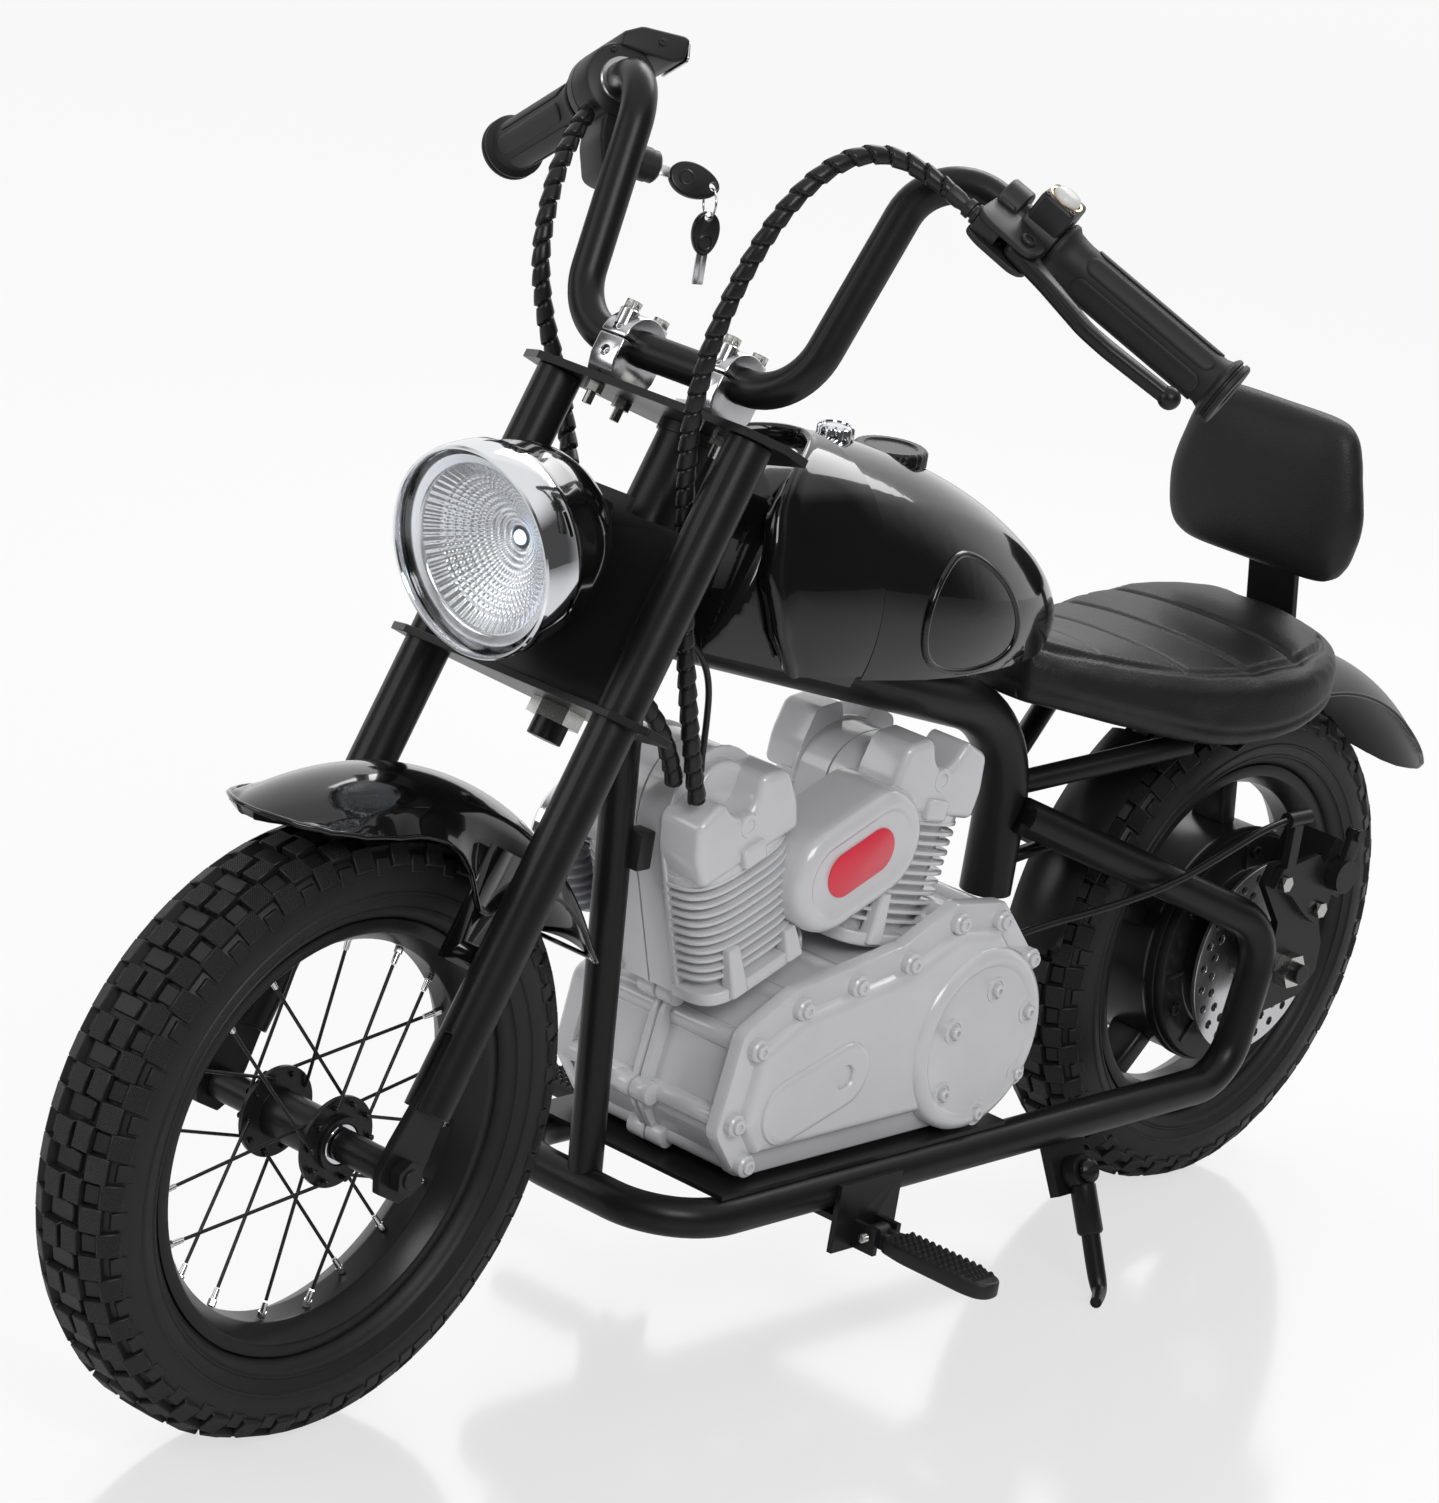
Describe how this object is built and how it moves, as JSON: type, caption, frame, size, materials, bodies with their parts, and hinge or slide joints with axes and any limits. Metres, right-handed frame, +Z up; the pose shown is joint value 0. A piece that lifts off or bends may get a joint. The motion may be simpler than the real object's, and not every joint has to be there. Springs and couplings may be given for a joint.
{
  "type": "kids electric motorbike",
  "caption": "Child-size electric cruiser motorbike with a spoked front wheel, hub-motor rear wheel, moulded V engine shell, teardrop tank and padded seat with backrest.",
  "frame": {"origin": "bottom centre of the bounding box, on the ground between the wheels", "axes": "+X forward, +Y to the rider's left, +Z up"},
  "size_m": [1.265, 0.6064, 0.8043],
  "materials": {
    "black_frame": "satin powder coat",
    "gloss_black": "gloss",
    "black_plastic": "satin",
    "engine_grey": "semi-gloss moulded",
    "chrome": "polished",
    "steel": "zinc plated",
    "black_alloy": "black satin",
    "tyre": "matte",
    "grip_rubber": "matte",
    "leather": "grained",
    "lens": "clear moulded",
    "reflector": "bright",
    "cable_black": "satin",
    "battery_case": "matte"
  },
  "bodies": {
    "frame": {"main_frame": "black_frame", "side_rails": "black_frame", "engine_case_left": "engine_grey", "right_engine_side": "engine_grey", "primary_cover": "engine_grey", "air_filter": "chrome", "battery_pack": "battery_case", "motor_controller": "black_alloy", "tank_shell": "gloss_black", "tank_front_panel": "gloss_black", "breather_cap": "chrome", "filler_cap": "gloss_black", "seat_pan": "black_plastic", "seat_cushion": "leather", "backrest_pad": "leather", "backrest_post": "black_frame", "rear_mudguard": "gloss_black", "rear_axle_set": "steel", "motor_stator": "steel", "brake_caliper": "black_alloy", "brake_cable": "cable_black", "fastener_set": "steel"},
    "fork": {"fork_legs": "black_frame", "steering_clamp": "black_frame", "upper_clamp_plate": "black_frame", "handlebar": "black_frame", "bar_clamps": "chrome", "fork_fasteners": "steel", "front_axle_set": "steel", "left_grip": "grip_rubber", "lever_perch": "black_plastic", "switch_pod": "black_plastic", "throttle_unit": "black_plastic", "display_unit": "black_plastic", "headlight_bucket": "gloss_black", "headlight_rim": "chrome", "headlight_lens": "lens", "headlight_reflector": "reflector", "headlight_stay": "black_frame", "front_mudguard": "gloss_black", "left_cable_wrap": "cable_black", "right_cable_wrap": "cable_black"},
    "front_wheel": {"front_tyre_set": "tyre", "front_rim": "black_alloy", "front_spoke_set": "steel", "front_hub_set": "black_alloy"},
    "rear_wheel": {"rear_tyre_set": "tyre", "rear_wheel_casting": "black_alloy", "motor_covers": "black_alloy", "brake_disc": "steel"},
    "brake_lever": {"brake_lever": "black_alloy"},
    "throttle": {"throttle_grip": "grip_rubber"},
    "horn_button": {"horn_button": "chrome"},
    "left_peg": {"footpeg_left": "black_plastic"},
    "right_peg": {"footpeg_right": "black_plastic"},
    "stand": {"kickstand_leg": "black_frame"},
    "key": {"key_and_plug": "black_plastic"},
    "spare_key": {"key_bunch": "steel"},
    "brake_arm": {"caliper_arm": "steel"}
  },
  "joints": [
    {"name": "steering", "type": "hinge", "parent": "frame", "child": "fork", "pos_m": [0.23648, 0, 0.51206], "axis": [-0.4431, 0, 0.8965], "range_deg": [-30, 30], "deforming": ["left_cable_wrap", "right_cable_wrap"]},
    {"name": "front_wheel_spin", "type": "hinge", "parent": "fork", "child": "front_wheel", "pos_m": [0.4425, 0, 0.19], "axis": [0, 1, 0], "continuous": true},
    {"name": "rear_wheel_spin", "type": "hinge", "parent": "frame", "child": "rear_wheel", "pos_m": [-0.4225, 0, 0.18], "axis": [0, 1, 0], "continuous": true},
    {"name": "brake_lever_squeeze", "type": "hinge", "parent": "fork", "child": "brake_lever", "pos_m": [0.15265, 0.1843, 0.74854], "axis": [0.0204, 0.5092, 0.8604], "range_deg": [0, 9], "stiffness_Nm_per_rad": 1.5, "springref_deg": -5.73},
    {"name": "brake_arm_pull", "type": "hinge", "parent": "frame", "child": "brake_arm", "pos_m": [-0.4526, 0.09, 0.2476], "axis": [0, 1, 0], "range_deg": [0, 7.2]},
    {"name": "throttle_twist", "type": "hinge", "parent": "fork", "child": "throttle", "pos_m": [0.09844, -0.2353, 0.71964], "axis": [-0.3534, -0.8087, -0.4702], "range_deg": [0, 70], "stiffness_Nm_per_rad": 0.15, "springref_deg": -11.46},
    {"name": "horn_press", "type": "slide", "parent": "fork", "child": "horn_button", "axis": [0.1031, -0.4659, -0.8788], "range_m": [0, 0.0025], "stiffness_N_per_m": 400, "springref_m": -0.002},
    {"name": "left_peg_fold", "type": "hinge", "parent": "frame", "child": "left_peg", "pos_m": [0.018, 0.107, 0.078], "axis": [1, 0, 0], "range_deg": [0, 80]},
    {"name": "right_peg_fold", "type": "hinge", "parent": "frame", "child": "right_peg", "pos_m": [0.018, -0.107, 0.078], "axis": [-1, 0, 0], "range_deg": [0, 80]},
    {"name": "stand_fold", "type": "hinge", "parent": "frame", "child": "stand", "pos_m": [-0.203, 0.092, 0.072], "axis": [0, 0.8829, 0.4695], "range_deg": [0, 85]},
    {"name": "key_turn", "type": "hinge", "parent": "fork", "child": "key", "pos_m": [0.11074, -0.13345, 0.71599], "axis": [-0.8353, 0.4991, -0.2305], "range_deg": [0, 75]},
    {"name": "spare_key_swing", "type": "hinge", "parent": "key", "child": "spare_key", "pos_m": [0.079, -0.11449, 0.70723], "axis": [-0.4005, -0.9163, 0], "range_deg": [-20, 20]}
  ],
  "couplings": [
    {"joint": "brake_arm_pull", "follows": "brake_lever_squeeze", "ratio": 0.8}
  ]
}
